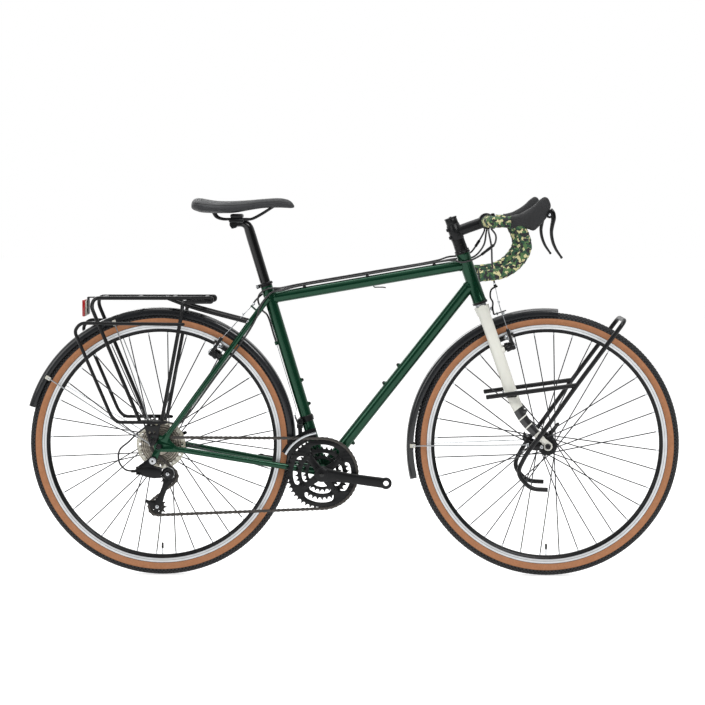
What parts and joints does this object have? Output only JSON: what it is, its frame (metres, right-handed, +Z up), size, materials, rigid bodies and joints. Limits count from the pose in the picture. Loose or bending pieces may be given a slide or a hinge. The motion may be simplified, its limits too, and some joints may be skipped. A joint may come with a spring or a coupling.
{
  "type": "touring bicycle",
  "caption": "Touring bicycle with drop handlebar, triple chainset, rear cog cluster, cantilever brakes, mudguards, rear rack and low front rack, with working joints.",
  "frame": {"origin": "middle of the bottom bracket, where the stand holds the bicycle", "axes": "+X forwards along the bicycle, +Z up, +Y to the rider's left, so the chain is on the -Y side"},
  "size_m": [1.723, 0.4516, 1.0053],
  "materials": {
    "green_paint": "gloss",
    "cream_paint": "gloss",
    "bar_tape": "matt",
    "hood_rubber": "matt",
    "saddle_cover": "satin",
    "tyre": "matt",
    "wheel_alloy": "satin",
    "steel": "oiled",
    "changer_alloy": "satin",
    "clear_plastic": "gloss",
    "pulley_plastic": "matt",
    "cord_cover": "satin",
    "red_reflector": "gloss",
    "mudguard_plastic": "gloss",
    "rack_coat": "satin",
    "black_alloy": "satin"
  },
  "bodies": {
    "frame": {"head_tube": "green_paint", "seat_tube": "green_paint", "top_tube": "green_paint", "down_tube": "green_paint", "bracket_shell": "green_paint", "chainstay_right": "green_paint", "chainstay_left": "green_paint", "seatstay_right": "green_paint", "seatstay_left": "green_paint", "axle_rear": "wheel_alloy", "chain": "steel", "changer_mount": "black_alloy", "changer_band": "black_alloy", "cord_brake_rear": "cord_cover", "cord_shift_front": "cord_cover", "cord_shift_rear": "cord_cover", "mudguard_rear": "mudguard_plastic", "rack_rear_right": "rack_coat", "rack_rear_left": "rack_coat", "rack_rear_top": "rack_coat", "reflector": "red_reflector"},
    "steering": {"fork_crown": "cream_paint", "fork_blade_right": "cream_paint", "fork_blade_left": "cream_paint", "stem": "black_alloy", "handlebar": "black_alloy", "tape_right": "bar_tape", "tape_left": "bar_tape", "hood_right": "hood_rubber", "hood_left": "hood_rubber", "axle_front": "wheel_alloy", "cord_hanger": "black_alloy", "cord_brake_front": "cord_cover", "mudguard_front": "mudguard_plastic", "rack_front_right": "rack_coat", "rack_front_left": "rack_coat"},
    "saddle_and_post": {"seatpost": "black_alloy", "saddle": "saddle_cover"},
    "lever_right": {"lever_right": "black_alloy"},
    "lever_left": {"lever_left": "black_alloy"},
    "front_wheel": {"wheel_front": "wheel_alloy", "tyre_front": "tyre"},
    "rear_wheel": {"wheel_rear": "wheel_alloy", "tyre_rear": "tyre", "spoke_protector": "clear_plastic"},
    "cassette": {"cassette": "steel"},
    "quick_release_front": {"quick_release_front": "black_alloy"},
    "quick_release_rear": {"quick_release_rear": "black_alloy"},
    "cranks": {"crank_right": "black_alloy", "crank_left": "black_alloy"},
    "brake_front_right": {"brake_front_right": "black_alloy"},
    "brake_front_left": {"brake_front_left": "black_alloy"},
    "brake_rear_right": {"brake_rear_right": "black_alloy"},
    "brake_rear_left": {"brake_rear_left": "black_alloy"},
    "changer_front": {"changer_front": "changer_alloy"},
    "changer_link": {"changer_link": "black_alloy"},
    "changer_knuckle": {"changer_knuckle": "black_alloy"},
    "changer_cage": {"changer_cage": "black_alloy"},
    "pulley_guide": {"pulley_guide": "pulley_plastic"},
    "pulley_tension": {"pulley_tension": "pulley_plastic"}
  },
  "joints": [
    {"name": "steering_turn", "type": "hinge", "parent": "frame", "child": "steering", "pos_m": [0.41486, 0, 0.45099], "axis": [-0.3338, 0, 0.9426], "range_deg": [-60, 60], "deforming": ["cord_brake_rear", "cord_shift_rear", "cord_shift_front"]},
    {"name": "saddle_height", "type": "slide", "parent": "frame", "child": "saddle_and_post", "axis": [-0.289, 0, 0.9573], "range_m": [-0.08, 0.06]},
    {"name": "front_wheel_spin", "type": "hinge", "parent": "steering", "child": "front_wheel", "pos_m": [0.59369, 0, 0.073], "axis": [0, 1, 0], "continuous": true},
    {"name": "rear_wheel_spin", "type": "hinge", "parent": "frame", "child": "rear_wheel", "pos_m": [-0.42731, 0, 0.073], "axis": [0, 1, 0], "continuous": true},
    {"name": "crank_spin", "type": "hinge", "parent": "frame", "child": "cranks", "pos_m": [0, 0, 0], "axis": [0, 1, 0], "continuous": true, "deforming": ["chain"]},
    {"name": "cassette_spin", "type": "hinge", "parent": "frame", "child": "cassette", "pos_m": [-0.42731, 0, 0.073], "axis": [0, 1, 0], "continuous": true},
    {"name": "lever_right_pull", "type": "hinge", "parent": "steering", "child": "lever_right", "pos_m": [0.58346, -0.21, 0.68126], "axis": [0, 1, 0], "range_deg": [0, 25], "stiffness_Nm_per_rad": 1.2, "springref_deg": -22.92, "deforming": ["cord_brake_front"]},
    {"name": "lever_left_pull", "type": "hinge", "parent": "steering", "child": "lever_left", "pos_m": [0.58346, 0.21, 0.68126], "axis": [0, 1, 0], "range_deg": [0, 25], "stiffness_Nm_per_rad": 1.2, "springref_deg": -22.92, "deforming": ["cord_brake_rear"]},
    {"name": "brake_front_right_swing", "type": "hinge", "parent": "steering", "child": "brake_front_right", "pos_m": [0.50089, -0.043, 0.33505], "axis": [-0.9426, 0, -0.3338], "range_deg": [0, 2.4]},
    {"name": "brake_front_left_swing", "type": "hinge", "parent": "steering", "child": "brake_front_left", "pos_m": [0.50089, 0.043, 0.33505], "axis": [0.9426, 0, 0.3338], "range_deg": [0, 2.4]},
    {"name": "brake_rear_right_swing", "type": "hinge", "parent": "frame", "child": "brake_rear_right", "pos_m": [-0.26303, -0.043, 0.29726], "axis": [-0.8067, 0, 0.591], "range_deg": [0, 2.4]},
    {"name": "brake_rear_left_swing", "type": "hinge", "parent": "frame", "child": "brake_rear_left", "pos_m": [-0.26303, 0.043, 0.29726], "axis": [0.8067, 0, -0.591], "range_deg": [0, 2.4]},
    {"name": "quick_release_front_flip", "type": "hinge", "parent": "steering", "child": "quick_release_front", "pos_m": [0.59369, 0.06885, 0.073], "axis": [-0.809, 0, 0.5878], "range_deg": [0, 180]},
    {"name": "quick_release_rear_flip", "type": "hinge", "parent": "frame", "child": "quick_release_rear", "pos_m": [-0.42731, 0.08635, 0.073], "axis": [-0.342, 0, 0.9397], "range_deg": [0, 180]},
    {"name": "changer_front_swing", "type": "hinge", "parent": "frame", "child": "changer_front", "pos_m": [-0.05888, -0.0438, 0.12422], "axis": [1, 0, 0], "range_deg": [0, 14], "deforming": ["chain", "cord_shift_front"]},
    {"name": "changer_link_swing", "type": "hinge", "parent": "frame", "child": "changer_link", "pos_m": [-0.47831, -0.0784, 0.01], "axis": [0, 0.4305, 0.9026], "range_deg": [0, 30], "deforming": ["chain", "cord_shift_rear"]},
    {"name": "changer_knuckle_swing", "type": "hinge", "parent": "changer_link", "child": "changer_knuckle", "pos_m": [-0.40471, -0.0784, 0.001], "axis": [0, 0.4305, 0.9026], "range_deg": [-30, 0]},
    {"name": "changer_cage_swing", "type": "hinge", "parent": "changer_knuckle", "child": "changer_cage", "pos_m": [-0.40331, -0.06, -0.008], "axis": [0, -1, 0], "range_deg": [0, 50], "stiffness_Nm_per_rad": 0.5, "springref_deg": -34.38, "deforming": ["chain"]},
    {"name": "pulley_guide_spin", "type": "hinge", "parent": "changer_cage", "child": "pulley_guide", "pos_m": [-0.40331, -0.06, -0.008], "axis": [0, 1, 0], "continuous": true},
    {"name": "pulley_tension_spin", "type": "hinge", "parent": "changer_cage", "child": "pulley_tension", "pos_m": [-0.43451, -0.06, -0.08814], "axis": [0, 1, 0], "continuous": true}
  ],
  "couplings": [
    {"joint": "cassette_spin", "follows": "crank_spin", "ratio": 4.1818},
    {"joint": "pulley_guide_spin", "follows": "crank_spin", "ratio": -4.1818},
    {"joint": "pulley_tension_spin", "follows": "crank_spin", "ratio": 4.1818},
    {"joint": "brake_front_right_swing", "follows": "lever_right_pull", "ratio": 0.096},
    {"joint": "brake_front_left_swing", "follows": "lever_right_pull", "ratio": 0.096},
    {"joint": "brake_rear_right_swing", "follows": "lever_left_pull", "ratio": 0.096},
    {"joint": "brake_rear_left_swing", "follows": "lever_left_pull", "ratio": 0.096},
    {"joint": "changer_knuckle_swing", "follows": "changer_link_swing", "ratio": -1}
  ]
}
